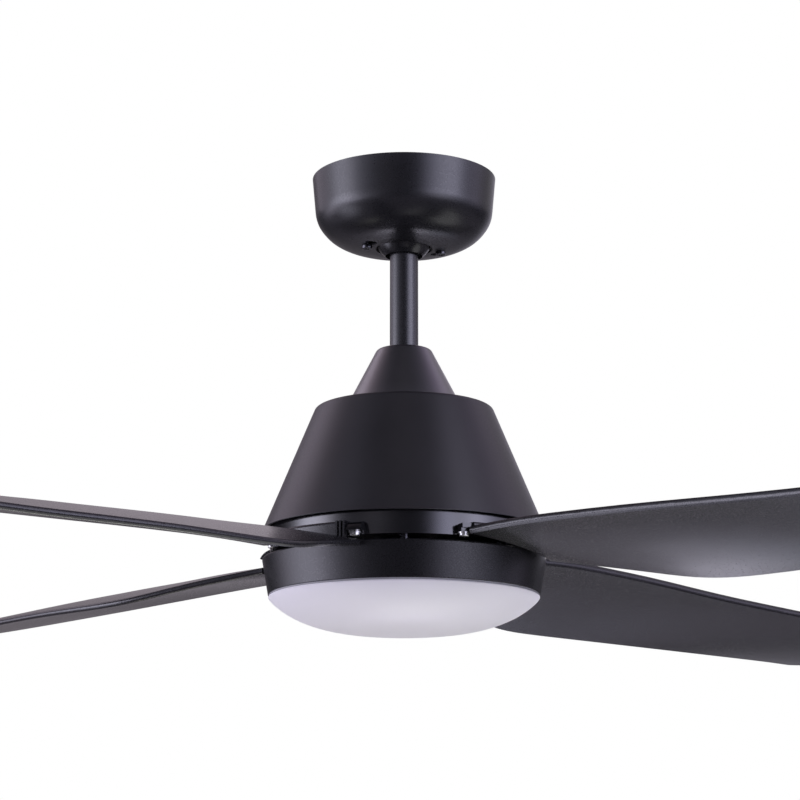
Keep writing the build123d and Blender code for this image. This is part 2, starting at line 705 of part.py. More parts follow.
with BuildPart() as rotor_shell_screws:
    with BuildSketch(Plane.XY.offset(SHELL_SPLIT + 3.0)):
        with PolarLocations(77.2, 6):
            Circle(2.9)
    extrude(amount=2.0)
    with BuildSketch(Plane.XY.offset(SHELL_SPLIT - 3.0)):
        with PolarLocations(77.2, 6):
            Circle(1.5)
    extrude(amount=6.0)
save(rotor_shell_screws, "rotor_shell_screws")


# ---------------------------------------------------------------------------
# Two 6203 ball bearings: inner race, balls, outer race.
# ---------------------------------------------------------------------------
BALL_PITCH = 14.25
BRG_BALL_R = 3.3
for tag, low in (("upper", UPPER_BRG_Z), ("lower", LOWER_BRG_Z)):
    mid = low + BEARING_W / 2
    with BuildPart() as inner_race:
        with BuildSketch(Plane.XZ):
            with Locations(((BEARING_D / 2 + 12.2) / 2, mid)):
                Rectangle(12.2 - BEARING_D / 2, BEARING_W)
            with Locations((BALL_PITCH, mid)):
                Circle(BRG_BALL_R + 0.06, mode=Mode.SUBTRACT)
        revolve(axis=Axis.Z)
    save(inner_race, tag + "_bearing_inner_race")
    with BuildPart() as balls:
        with PolarLocations(BALL_PITCH, 7):
            with Locations((0, 0, mid)):
                Sphere(BRG_BALL_R)
    save(balls, tag + "_bearing_balls")
    with BuildPart() as outer_race:
        with BuildSketch(Plane.XZ):
            with Locations(((16.3 + BEARING_OD / 2) / 2, mid)):
                Rectangle(BEARING_OD / 2 - 16.3, BEARING_W)
            with Locations((BALL_PITCH, mid)):
                Circle(BRG_BALL_R + 0.06, mode=Mode.SUBTRACT)
        revolve(axis=Axis.Z)
    save(outer_race, tag + "_bearing_outer_race")

# ---------------------------------------------------------------------------
# Blade carrier: a turned drum around the motor with four blade seats.
# ---------------------------------------------------------------------------


with BuildPart() as blade_carrier:
    for n in range(BLADES):
        mid, half = between(EAR_AZ)
        extrude(sector(DRUM_R - 2.0, EAR_R, half, EAR_BOT, BLADE_AZ0 + 90.0 * n + mid), amount=EAR_TOP - EAR_BOT)
    with BuildSketch(Plane.XZ):
        with BuildLine():
            Polyline(
                (74.4, DRUM_BOT),
                (DRUM_R, DRUM_BOT),
                (DRUM_R, DRUM_TOP + 1.2),
                (DRUM_R - 1.2, DRUM_TOP),
                (DRUM_R - DRUM_WALL, DRUM_TOP),
                (DRUM_R - DRUM_WALL, DRUM_BOT + 3.0),
                (74.4, DRUM_BOT + 3.0),
                close=True,
            )
        make_face()
    revolve(axis=Axis.Z)
    with BuildSketch(Plane.XY.offset(DRUM_BOT - 1)):
        with PolarLocations(81.0, 6, start_angle=30):
            Circle(2.2)
    extrude(amount=6, mode=Mode.SUBTRACT)
    for n in range(BLADES):
        for da in BLADE_SCREW_AZ:
            with Locations(Location(polar(BLADE_SCREW_R, BLADE_AZ0 + 90.0 * n + da, EAR_BOT - 1))):
                Cylinder(2.0, 8, align=(Align.CENTER, Align.CENTER, Align.MIN), mode=Mode.SUBTRACT)
save(blade_carrier, "blade_carrier")

with BuildPart() as carrier_screws:
    with BuildSketch(Plane.XY.offset(DRUM_BOT)):
        with PolarLocations(81.0, 6, start_angle=30):
            Circle(3.8)
    extrude(amount=-1.9)
    with BuildSketch(Plane.XY.offset(DRUM_BOT)):
        with PolarLocations(81.0, 6, start_angle=30):
            Circle(2.0)
    extrude(amount=6.0)
save(carrier_screws, "carrier_screws")


# ---------------------------------------------------------------------------
# Blades: moulded, cambered and twisted. The root carries a cap that fits over
# the blade bracket, with a short ribbed grip beside it.
# ---------------------------------------------------------------------------
def station(row, w):
    """Upper and lower point of a blade section, w = 0 trailing, 1 leading."""
    r, sl, zl, st, zt, cu, cl = row
    s = st + (sl - st) * w
    base = CONE_BOT_Z + zt + (zl - zt) * w
    t = TRAIL_T + (LEAD_T - TRAIL_T) * w
    bulge = 4.0 * w * (1.0 - w)
    return s, base - cu * bulge, base - t - cl * bulge


def make_blade(name, az):
    a = math.radians(az)
    e_r = (math.cos(a), math.sin(a), 0.0)
    e_t = (-math.sin(a), math.cos(a), 0.0)
    ws = [0.0, 0.06, 0.2, 0.4, 0.6, 0.8, 0.94, 1.0]
    with BuildPart() as blade:
        # the blade proper, lofted through its stations
        for row in BLADE_STATIONS:
            r = row[0]
            with BuildSketch(Plane(origin=(e_r[0] * r, e_r[1] * r, 0), x_dir=e_t, z_dir=e_r)):
                up = []
                low = []
                for w in ws:
                    s, zu, zd = station(row, w)
                    up.append((-s, zu))
                    low.append((-s, zd))
                s0, zu0, zd0 = station(row, 0.0)
                s1, zu1, zd1 = station(row, 1.0)
                nose0 = (-s0 + (zu0 - zd0) * 0.42, (zu0 + zd0) / 2)
                nose1 = (-s1 - (zu1 - zd1) * 0.16, (zu1 + zd1) / 2)
                with BuildLine():
                    Spline(up)
                    ThreePointArc(up[-1], nose1, low[-1])
                    Spline(low[::-1])
                    ThreePointArc(low[0], nose0, up[0])
                make_face()
        loft()
        # rounded tip and clean root
        with BuildSketch(turned(-400.0, az)):
            with BuildLine():
                half = 120.0
                Polyline((ROOT_R - 25.0, -half), (ROOT_R - 25.0, half), (560.0, half))
                Line((ROOT_R - 25.0, -half), (560.0, -half))
                Line((560.0, half), (560.0, 70.0))
                Line((560.0, -half), (560.0, -62.0))
                Spline(
                    (560.0, 70.0),
                    (600.0, 69.4),
                    (636.0, 62.5),
                    (653.0, 42.0),
                    (SPAN_R - 1.0, 10.0),
                    (SPAN_R, -12.0),
                    (654.0, -38.0),
                    (636.0, -55.5),
                    (600.0, -61.9),
                    (560.0, -62.0),
                )
            make_face()
        extrude(amount=200.0, mode=Mode.INTERSECT)
        with BuildSketch(Plane.XY.offset(-400.0)):
            Circle(ROOT_R)
        extrude(amount=200.0, mode=Mode.SUBTRACT)
    # the root: cap over the bracket, and the ribbed grip
    with BuildPart() as root:
        mid, half = between(CAP_AZ)
        with BuildSketch(radial_plane(az + CAP_AZ[0])):
            with BuildLine():
                Line((PLATE_IN_R + 0.4, CAP_TOP), (CAP_R - CAP_ROUND, CAP_TOP))
                ThreePointArc(
                    (CAP_R - CAP_ROUND, CAP_TOP),
                    (CAP_R - CAP_ROUND * 0.292893, CAP_TOP - CAP_ROUND * 0.292893),
                    (CAP_R, CAP_TOP - CAP_ROUND),
                )
                Polyline(
                    (CAP_R, CAP_TOP - CAP_ROUND),
                    (CAP_R, -303.0),
                    (ROOT_R, -297.0),
                    (CAP_IN_R, -286.6),
                    (CAP_IN_R, PLATE_TOP_Z + 0.15),
                    (PLATE_IN_R + 0.4, PLATE_TOP_Z + 0.15),
                    (PLATE_IN_R + 0.4, CAP_TOP),
                )
            make_face()
        revolve(axis=Axis.Z, revolution_arc=2 * half)
        with BuildSketch(radial_plane(az + RIB_AZ[0])):
            with BuildLine():
                Polyline(
                    (PLATE_IN_R + 0.4, CAP_TOP + 0.4),
                    (CAP_IN_R + 1.3, CAP_TOP + 0.4),
                    (CAP_IN_R + 1.3, -291.0),
                    (ROOT_R + 0.5, -294.0),
                    (ROOT_R + 0.5, -303.0),
                    (ROOT_R, -297.0),
                    (CAP_IN_R, -289.5),
                    (CAP_IN_R, PLATE_TOP_Z + 0.15),
                    (PLATE_IN_R + 0.4, PLATE_TOP_Z + 0.15),
                    close=True,
                )
            make_face()
        revolve(axis=Axis.Z, revolution_arc=RIB_AZ[1] - RIB_AZ[0])
        for rib in range(3):
            extrude(
                sector(CAP_IN_R, CAP_R + 0.6, 0.36, -303.0, az + RIB_AZ[0] + 0.5 + 1.42 * rib),
                amount=CAP_TOP + 0.4 + 303.0,
            )
        # cut everything that would stand below the blade's under face
        slope = math.degrees(math.atan(0.1204))
        below = Plane(origin=(0, 0, CONE_BOT_Z - 17.3), x_dir=e_r, z_dir=(
            -e_t[0] * -math.sin(math.radians(slope)),
            -e_t[1] * -math.sin(math.radians(slope)),
            math.cos(math.radians(slope)),
        ))
        with Locations(below):
            Box(400, 400, 60, align=(Align.CENTER, Align.CENTER, Align.MAX), mode=Mode.SUBTRACT)
        # pilot hole of the middle screw
        with Locations(Location(polar(BLADE_SCREW_R, az, PLATE_TOP_Z - 1))):
            Cylinder(2.02, 2.3, align=(Align.CENTER, Align.CENTER, Align.MIN), mode=Mode.SUBTRACT)
    with BuildPart() as whole:
        add(blade.part)
        add(root.part)
    save(whole, name)
    return whole


for n in range(BLADES):
    make_blade("blade_%d" % (n + 1), BLADE_AZ0 + 90.0 * n)

# ---------------------------------------------------------------------------
# Blade brackets: a steel plate on each seat, with a raised block at the
# leading end and a rounded lug at the trailing end.
# ---------------------------------------------------------------------------
with BuildPart() as blade_brackets:
    for n in range(BLADES):
        az = BLADE_AZ0 + 90.0 * n
        mid, half = between(PLATE_AZ)
        extrude(sector(PLATE_IN_R, EAR_R, half, EAR_TOP, az + mid), amount=PLATE_TOP_Z - EAR_TOP)
        mid, half = between(LEAD_LUG_AZ)
        extrude(sector(PLATE_IN_R, EAR_R + 1.3, half, EAR_TOP, az + mid), amount=PLATE_TOP_Z - EAR_TOP + 1.2)
        lug = []
        for i in range(9):
            t = math.radians(90.0 - 69.0 * i / 8)
            lug.append((99.8 + 13.0 * math.cos(t), -290.4 + 11.4 * math.sin(t)))
        with BuildSketch(radial_plane(az + TRAIL_LUG_AZ[0])):
            with BuildLine():
                Spline(lug)
                Polyline(lug[-1], (EAR_R + 0.3, lug[-1][1]), (EAR_R + 0.3, EAR_TOP), (99.8, EAR_TOP), lug[0])
            make_face()
        revolve(axis=Axis.Z, revolution_arc=TRAIL_LUG_AZ[1] - TRAIL_LUG_AZ[0])
    for n in range(BLADES):
        for da in BLADE_SCREW_AZ:
            deep = 1.8 if da else 6.0
            with Locations(Location(polar(BLADE_SCREW_R, BLADE_AZ0 + 90.0 * n + da, EAR_TOP - 1))):
                Cylinder(2.0, 1 + deep, align=(Align.CENTER, Align.CENTER, Align.MIN), mode=Mode.SUBTRACT)
save(blade_brackets, "blade_brackets")

with BuildPart() as blade_screws:
    for n in range(BLADES):
        for da in BLADE_SCREW_AZ:
            with Locations(Location(polar(BLADE_SCREW_R, BLADE_AZ0 + 90.0 * n + da, EAR_BOT))):
                Cylinder(2.0, 4.4 if da else 5.9, align=(Align.CENTER, Align.CENTER, Align.MIN))
                Cylinder(4.4, 1.0, align=(Align.CENTER, Align.CENTER, Align.MAX))
            with Locations(Location(polar(BLADE_SCREW_R, BLADE_AZ0 + 90.0 * n + da, EAR_BOT - 1.0))):
                Cylinder(3.6, 2.1, align=(Align.CENTER, Align.CENTER, Align.MAX))
            with Locations(Location(polar(BLADE_SCREW_R, BLADE_AZ0 + 90.0 * n + da, EAR_BOT - 3.1), (0, 0, 25.0 + 40.0 * n + da))):
                Box(4.6, 0.8, 1.6, mode=Mode.SUBTRACT)
                Box(0.8, 4.6, 1.6, mode=Mode.SUBTRACT)
    fillet(
        blade_screws.edges().filter_by(GeomType.CIRCLE).filter_by(lambda e: abs(e.radius - 3.6) < 0.01).group_by(Axis.Z)[0],
        radius=0.8,
    )
save(blade_screws, "blade_screws")

# ---------------------------------------------------------------------------
# Light kit, hung on the fixed shaft below the rotor.
# ---------------------------------------------------------------------------
with BuildPart() as shaft_spacer_nut:
    with BuildSketch(Plane.XY.offset(RING_TOP_Z)):
        RegularPolygon(14.0, 6, major_radius=False)
        Circle(SHAFT_R, mode=Mode.SUBTRACT)
    extrude(amount=3.6)
    # collar up to the lower bearing
    with BuildSketch(Plane.XY.offset(RING_TOP_Z + 3.6)):
        Circle(9.9)
        Circle(SHAFT_R, mode=Mode.SUBTRACT)
    extrude(amount=LOWER_BRG_Z - RING_TOP_Z - 3.6)
save(shaft_spacer_nut, "shaft_spacer_nut")

side = (RING_TOP_R - RING_BOT_R) / (RING_TOP_Z - RING_BOT_Z)
with BuildPart() as light_housing:
    with BuildSketch(Plane.XZ):
        with BuildLine():
            Polyline(
                (SHAFT_R + 0.3, RING_TOP_Z),
                (RING_TOP_R, RING_TOP_Z),
                (RING_BOT_R, RING_BOT_Z),
                (96.4, RING_BOT_Z),
                (96.4, RING_BOT_Z + 1.4),
                (RING_BOT_R - RING_T, RING_BOT_Z + 1.4),
                (RING_TOP_R - RING_T - 0.2, RING_TOP_Z - RING_T),
                (SHAFT_R + 0.3, RING_TOP_Z - RING_T),
                close=True,
            )
        make_face()
    revolve(axis=Axis.Z)
    top_rim = light_housing.edges().filter_by(GeomType.CIRCLE).group_by(Axis.Z)[-1].sort_by(SortBy.RADIUS)[-1]
    fillet(top_rim, radius=1.4)
    low_rim = light_housing.edges().filter_by(GeomType.CIRCLE).group_by(Axis.Z)[0].sort_by(SortBy.RADIUS)[-1]
    fillet(low_rim, radius=0.5)
    # bayonet gaps in the lower lip: the lens tabs pass through here
    for az in (50.0, 170.0, 290.0):
        extrude(sector(90.0, 97.75, 6.0, RING_BOT_Z - 1, az), amount=4, mode=Mode.SUBTRACT)
    # stops at both ends of each tab's travel
    for az in (36.0, 156.0, 276.0):
        extrude(sector(96.6, 98.2, 0.7, RING_BOT_Z + 1.2, az - 5.6), amount=3.2)
        extrude(sector(96.6, 98.2, 0.7, RING_BOT_Z + 1.2, az + 14.0 + 5.6), amount=3.2)
    # holes of the mount plate screws and of the tray screws
    with BuildSketch(Plane.XY.offset(RING_TOP_Z - 5)):
        with PolarLocations(30.0, 3):
            Circle(2.1)
        with PolarLocations(62.0, 3, start_angle=60):
            Circle(2.1)
    extrude(amount=10, mode=Mode.SUBTRACT)
save(light_housing, "light_housing")

PLATE_TOP = RING_TOP_Z - RING_T
with BuildPart() as light_mount_plate:
    with BuildSketch(Plane.XY.offset(PLATE_TOP - 2.0)):
        Circle(38.0)
        Circle(SHAFT_R, mode=Mode.SUBTRACT)
        with PolarLocations(30.0, 3):
            Circle(2.0, mode=Mode.SUBTRACT)
    extrude(amount=2.0)
save(light_mount_plate, "light_mount_plate")

with BuildPart() as light_mount_screws:
    with BuildSketch(Plane.XY.offset(RING_TOP_Z)):
        with PolarLocations(30.0, 3):
            Circle(3.6)
    extrude(amount=1.8)
    with BuildSketch(Plane.XY.offset(RING_TOP_Z)):
        with PolarLocations(30.0, 3):
            Circle(2.0)
    extrude(amount=-6.0)
save(light_mount_screws, "light_mount_screws")

with BuildPart() as shaft_lock_nut:
    with BuildSketch(Plane.XY.offset(PLATE_TOP - 7.5)):
        RegularPolygon(13.0, 6, major_radius=False)
        Circle(SHAFT_R, mode=Mode.SUBTRACT)
    extrude(amount=5.5)
save(shaft_lock_nut, "shaft_lock_nut")

TRAY_Z = -308.8
with BuildPart() as led_tray:
    with BuildSketch(Plane.XY.offset(TRAY_Z)):
        Circle(90.0)
        with PolarLocations(62.0, 3, start_angle=60):
            Circle(2.0, mode=Mode.SUBTRACT)
    extrude(amount=1.2)
    with BuildSketch(Plane.XY.offset(TRAY_Z)):
        Circle(90.0)
        Circle(88.8, mode=Mode.SUBTRACT)
    extrude(amount=5.0)
save(led_tray, "led_tray")

with BuildPart() as led_tray_screws:
    with BuildSketch(Plane.XY.offset(TRAY_Z)):
        with PolarLocations(62.0, 3, start_angle=60):
            Circle(2.0)
    extrude(amount=RING_TOP_Z - TRAY_Z - 0.2)
    with BuildSketch(Plane.XY.offset(TRAY_Z + 1.2)):
        with PolarLocations(62.0, 3, start_angle=60):
            Circle(3.8)
    extrude(amount=PLATE_TOP - TRAY_Z - 1.2)
save(led_tray_screws, "led_tray_screws")

with BuildPart() as led_board:
    with BuildSketch(Plane.XY.offset(TRAY_Z - 1.6)):
        Circle(84.0)
        Circle(10.0, mode=Mode.SUBTRACT)
        with PolarLocations(62.0, 3, start_angle=60):
            Circle(2.6, mode=Mode.SUBTRACT)
    extrude(amount=1.6)
save(led_board, "led_board")

with BuildPart() as led_chips:
    for radius, count in ((26.0, 8), (50.0, 16), (75.0, 24)):
        with BuildSketch(Plane.XY.offset(TRAY_Z - 2.4)):
            with PolarLocations(radius, count):
                Rectangle(3.5, 2.8)
        extrude(amount=0.8)
save(led_chips, "led_chips")

with BuildPart() as led_driver:
    with Locations((62.0, 0, TRAY_Z + 1.2 + 5.0)):
        Box(30.0, 62.0, 10.0)
    fillet(led_driver.edges().filter_by(Axis.Z), radius=2.0)
save(led_driver, "led_driver")

with BuildPart() as lens_seal:
    with BuildSketch(Plane.XY.offset(LENS_RIM_Z)):
        Circle(98.7)
        Circle(96.5, mode=Mode.SUBTRACT)
    extrude(amount=RING_BOT_Z - LENS_RIM_Z)
save(lens_seal, "lens_seal")

# ---------------------------------------------------------------------------
# Lens: an opal dish with a neck and three bayonet tabs. It turns 14 degrees
# to unlock.
# ---------------------------------------------------------------------------
lens_outer = [
    (99.2, -320.3),
    (97.1, -322.85),
    (94.0, -325.62),
    (88.0, -330.04),
    (80.0, -334.48),
    (70.0, -338.51),
    (58.0, -341.81),
    (45.0, -343.97),
    (30.0, -345.12),
    (15.0, -345.455),
    (5.0, -345.497),
    (0.0, LENS_BOT_Z),
]
lens_inner = [(94.0, -322.4)] + offset_in(lens_outer, LENS_T)[2:]
lens_inner[-1] = (0.0, LENS_BOT_Z + LENS_T)
with BuildPart() as lens_diffuser:
    with BuildSketch(Plane.XZ):
        with BuildLine():
            Line((98.6, LENS_RIM_Z), (99.2, LENS_RIM_Z - 0.35))
            Line((99.2, LENS_RIM_Z - 0.35), lens_outer[0])
            Spline(lens_outer)
            Line(lens_outer[-1], lens_inner[-1])
            Spline(lens_inner[::-1])
            Polyline(lens_inner[0], (94.0, -313.6), (96.0, -313.6), (96.0, LENS_RIM_Z), (98.6, LENS_RIM_Z))
        make_face()
    revolve(axis=Axis.Z)
    # the tabs lie above the housing's lip, turned away from its gaps
    for az in (36.0, 156.0, 276.0):
        extrude(sector(95.0, 97.5, 4.6, -316.6, az), amount=3.0)
save(lens_diffuser, "lens_diffuser")
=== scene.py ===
import math

import bmesh
import bpy
from mathutils import Matrix, Vector

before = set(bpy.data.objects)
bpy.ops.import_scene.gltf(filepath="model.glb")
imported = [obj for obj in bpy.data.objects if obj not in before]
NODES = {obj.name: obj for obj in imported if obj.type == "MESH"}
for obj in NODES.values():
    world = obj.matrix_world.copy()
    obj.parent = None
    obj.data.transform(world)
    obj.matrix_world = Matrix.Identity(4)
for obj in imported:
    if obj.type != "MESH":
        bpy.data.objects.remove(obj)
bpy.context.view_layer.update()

scene = bpy.context.scene

# ---------------------------------------------------------------------------
# Materials: node groups, all procedural, in object space.
# ---------------------------------------------------------------------------


class Mat:
    """A node material with short helpers."""

    def __init__(self, name):
        self.m = bpy.data.materials.new(name)
        self.m.use_nodes = True
        self.t = self.m.node_tree
        self.t.nodes.clear()
        self.out = self.t.nodes.new("ShaderNodeOutputMaterial")
        self.b = self.t.nodes.new("ShaderNodeBsdfPrincipled")
        self.t.links.new(self.b.outputs[0], self.out.inputs["Surface"])
        self.coord = None

    def node(self, kind, **values):
        n = self.t.nodes.new(kind)
        for k, v in values.items():
            if hasattr(n, k):
                setattr(n, k, v)
            else:
                n.inputs[k.replace("_", " ")].default_value = v
        return n

    def link(self, a, b):
        self.t.links.new(a, b)

    def obj(self):
        if self.coord is None:
            self.coord = self.t.nodes.new("ShaderNodeTexCoord").outputs["Object"]
        return self.coord

    def scaled(self, scale):
        n = self.node("ShaderNodeMapping")
        n.inputs["Scale"].default_value = scale if hasattr(scale, "__len__") else (scale,) * 3
        self.link(self.obj(), n.inputs["Vector"])
        return n.outputs["Vector"]

    def noise(self, scale, detail=3.0, rough=0.55, vector=None):
        n = self.node("ShaderNodeTexNoise")
        n.inputs["Scale"].default_value = scale
        n.inputs["Detail"].default_value = detail
        n.inputs["Roughness"].default_value = rough
        self.link(vector if vector is not None else self.obj(), n.inputs["Vector"])
        return n.outputs["Fac"]

    def ramp(self, fac, stops):
        n = self.node("ShaderNodeValToRGB")
        el = n.color_ramp.elements
        while len(el) < len(stops):
            el.new(0.5)
        for e, (pos, col) in zip(el, stops):
            e.position = pos
            e.color = (*col, 1.0) if hasattr(col, "__len__") else (col, col, col, 1.0)
        self.link(fac, n.inputs["Fac"])
        return n.outputs["Color"]

    def remap(self, fac, lo, hi, a, b):
        n = self.node("ShaderNodeMapRange")
        n.inputs["From Min"].default_value = lo
        n.inputs["From Max"].default_value = hi
        n.inputs["To Min"].default_value = a
        n.inputs["To Max"].default_value = b
        self.link(fac, n.inputs["Value"])
        return n.outputs["Result"]

    def math(self, op, a, b):
        n = self.node("ShaderNodeMath", operation=op)
        for i, v in enumerate((a, b)):
            if isinstance(v, (int, float)):
                n.inputs[i].default_value = v
            else:
                self.link(v, n.inputs[i])
        return n.outputs[0]

    def mix(self, fac, a, b):
        n = self.node("ShaderNodeMix", data_type="RGBA")
        for sock, v in ((n.inputs["Factor"], fac), (n.inputs["A"], a), (n.inputs["B"], b)):
            if sock.name == "Factor":
                if isinstance(v, (int, float)):
                    sock.default_value = v
                else:
                    self.link(v, sock)
        # colour sockets of the RGBA mix
        a_in, b_in = n.inputs[6], n.inputs[7]
        for sock, v in ((a_in, a), (b_in, b)):
            if hasattr(v, "__len__"):
                sock.default_value = (*v[:3], 1.0)
            else:
                self.link(v, sock)
        return n.outputs[2]

    def bump(self, height, strength, distance):
        n = self.node("ShaderNodeBump")
        n.inputs["Strength"].default_value = strength
        n.inputs["Distance"].default_value = distance
        self.link(height, n.inputs["Height"])
        self.link(n.outputs["Normal"], self.b.inputs["Normal"])
        return n


def powder_black(name, base, rough, grain=0.5, warm=(0.0, 0.0, 0.0), spec=0.5, coat=0.0):
    """Satin powder coat: fine orange peel, slight roughness drift, lighter convex edges."""
    m = Mat(name)
    drift = m.noise(9.0, 4.0, 0.6)
    fine = m.noise(900.0, 2.0, 0.5)
    peel = m.noise(2600.0, 2.0, 0.5)
    lo = tuple(c * 0.86 for c in base)
    hi = tuple(c * 1.18 + w for c, w in zip(base, warm))
    col = m.mix(m.remap(drift, 0.35, 0.65, 0.0, 1.0), lo, hi)
    geo = m.node("ShaderNodeNewGeometry")
    # colour lighter towards convex edges, by pointiness
    edge = m.remap(geo.outputs["Pointiness"], 0.52, 0.62, 0.0, 0.35)
    col = m.mix(edge, col, tuple(min(1.0, c * 2.4 + 0.01) for c in base))
    m.link(col, m.b.inputs["Base Color"])
    r = m.remap(fine, 0.3, 0.7, rough - 0.045, rough + 0.045)
    r = m.math("ADD", r, m.remap(drift, 0.3, 0.7, -0.025, 0.025))
    m.link(r, m.b.inputs["Roughness"])
    m.bump(m.math("ADD", m.math("MULTIPLY", peel, 0.5), fine), 0.10 * grain, 0.00008)
    m.b.inputs["Specular IOR Level"].default_value = spec
    m.b.inputs["Coat Weight"].default_value = coat
    m.b.inputs["Coat Roughness"].default_value = rough
    m.b.inputs["Coat IOR"].default_value = 1.75
    return m.m


def plastic(name, base, rough, spark=0.0, bump=0.12, scale=1400.0, spec=0.5):
    """Moulded plastic with a fine spark-eroded texture and bright flecks."""
    m = Mat(name)
    drift = m.noise(14.0, 3.0, 0.55)
    fine = m.noise(scale, 2.0, 0.6)
    lo = tuple(c * 0.88 for c in base)
    hi = tuple(c * 1.14 for c in base)
    col = m.mix(m.remap(drift, 0.35, 0.65, 0.0, 1.0), lo, hi)
    if spark:
        v = m.node("ShaderNodeTexVoronoi")
        v.inputs["Scale"].default_value = 950.0
        m.link(m.obj(), v.inputs["Vector"])
        sep = m.node("ShaderNodeSeparateColor")
        m.link(v.outputs["Color"], sep.inputs[0])
        fleck = m.remap(sep.outputs[0], 0.62, 1.0, 0.0, spark)
        col = m.mix(fleck, col, tuple(min(1.0, c * 4.0 + 0.05) for c in base))
    m.link(col, m.b.inputs["Base Color"])
    r = m.remap(fine, 0.3, 0.7, rough - 0.05, rough + 0.05)
    m.link(r, m.b.inputs["Roughness"])
    m.bump(fine, bump, 0.00012)
    m.b.inputs["Specular IOR Level"].default_value = spec
    return m.m


def metal(name, base, rough, brushed=None, spots=0.0):
    """Bare or plated metal with a fine directional or cloudy finish."""
    m = Mat(name)
    m.b.inputs["Metallic"].default_value = 1.0
    vec = m.scaled(brushed) if brushed else m.obj()
    fine = m.noise(1.0 if brushed else 500.0, 3.0, 0.6, vec)
    cloud = m.noise(60.0, 4.0, 0.6)
    col = m.mix(m.remap(cloud, 0.3, 0.7, 0.0, 1.0), tuple(c * 0.82 for c in base), tuple(min(1.0, c * 1.08) for c in base))
    m.link(col, m.b.inputs["Base Color"])
    m.link(m.remap(fine, 0.25, 0.75, rough - 0.07, rough + 0.09), m.b.inputs["Roughness"])
    m.bump(fine, 0.08, 0.0001)
    return m.m


def frosted(name, base, rough):
    """Opal acrylic: soft, cloudy, faintly scattering."""
    m = Mat(name)
    drift = m.noise(18.0, 3.0, 0.5)
    fine = m.noise(1500.0, 2.0, 0.5)
    col = m.mix(m.remap(drift, 0.35, 0.65, 0.0, 1.0), tuple(c * 0.985 for c in base), base)
    m.link(col, m.b.inputs["Base Color"])
    m.link(m.remap(fine, 0.3, 0.7, rough - 0.03, rough + 0.03), m.b.inputs["Roughness"])
    m.b.inputs["Subsurface Weight"].default_value = 0.35
    m.b.inputs["Subsurface Radius"].default_value = (0.006, 0.006, 0.0065)
    m.b.inputs["Subsurface Scale"].default_value = 1.0
    m.b.inputs["Specular IOR Level"].default_value = 0.5
    m.bump(fine, 0.04, 0.00008)
    return m.m


satin = powder_black("satin_black", (0.0105, 0.0105, 0.0118), 0.30, grain=0.3, spec=0.46)
cone = powder_black("satin_cone", (0.0175, 0.0164, 0.0181), 0.38, grain=0.3, spec=0.68)
hood = powder_black("satin_hood", (0.0180, 0.0169, 0.0190), 0.34, grain=0.3, spec=0.95, coat=1.0)
rod_mat = powder_black("satin_rod", (0.0065, 0.0065, 0.0075), 0.30, grain=0.3, spec=0.68)
drum = powder_black("satin_light", (0.0080, 0.0080, 0.0091), 0.30, grain=0.2, spec=0.36)
gloss = powder_black("gloss_drum", (0.0050, 0.0050, 0.0058), 0.15, grain=0.15, spec=0.80)
blade_mat = plastic("blade_plastic", (0.0120, 0.0118, 0.0132), 0.24, spark=0.08, bump=0.22, scale=800.0)
ball_mat = plastic("ball_plastic", (0.010, 0.010, 0.011), 0.26, bump=0.2, scale=420.0)
opal = frosted("opal", (0.80, 0.785, 0.815), 0.40)
dark_zinc = metal("dark_zinc", (0.05, 0.05, 0.052), 0.45)
seal = plastic("seal_grey", (0.30, 0.30, 0.31), 0.6)
black_screw = metal("black_screw", (0.10, 0.10, 0.11), 0.22)
zinc = metal("zinc", (0.62, 0.62, 0.60), 0.30)
zinc_plate = metal("zinc_plate", (0.58, 0.58, 0.57), 0.38, brushed=(40.0, 900.0, 900.0))
nylon = plastic("nylon", (0.72, 0.70, 0.63), 0.5)
cast_black = plastic("cast_black", (0.03, 0.03, 0.03), 0.6, bump=0.6, scale=260.0)
alloy = metal("alloy", (0.66, 0.66, 0.67), 0.42)
lamination = metal("lamination", (0.30, 0.30, 0.32), 0.40, brushed=(20.0, 20.0, 3000.0))
copper = metal("copper", (0.72, 0.30, 0.14), 0.32, brushed=(60.0, 60.0, 2600.0))
magnet = plastic("magnet", (0.06, 0.06, 0.065), 0.55)
ground = metal("ground_steel", (0.60, 0.60, 0.61), 0.18, brushed=(30.0, 30.0, 2000.0))
white_paint = plastic("white_paint", (0.80, 0.80, 0.79), 0.45)
led = plastic("led", (0.85, 0.72, 0.25), 0.35)

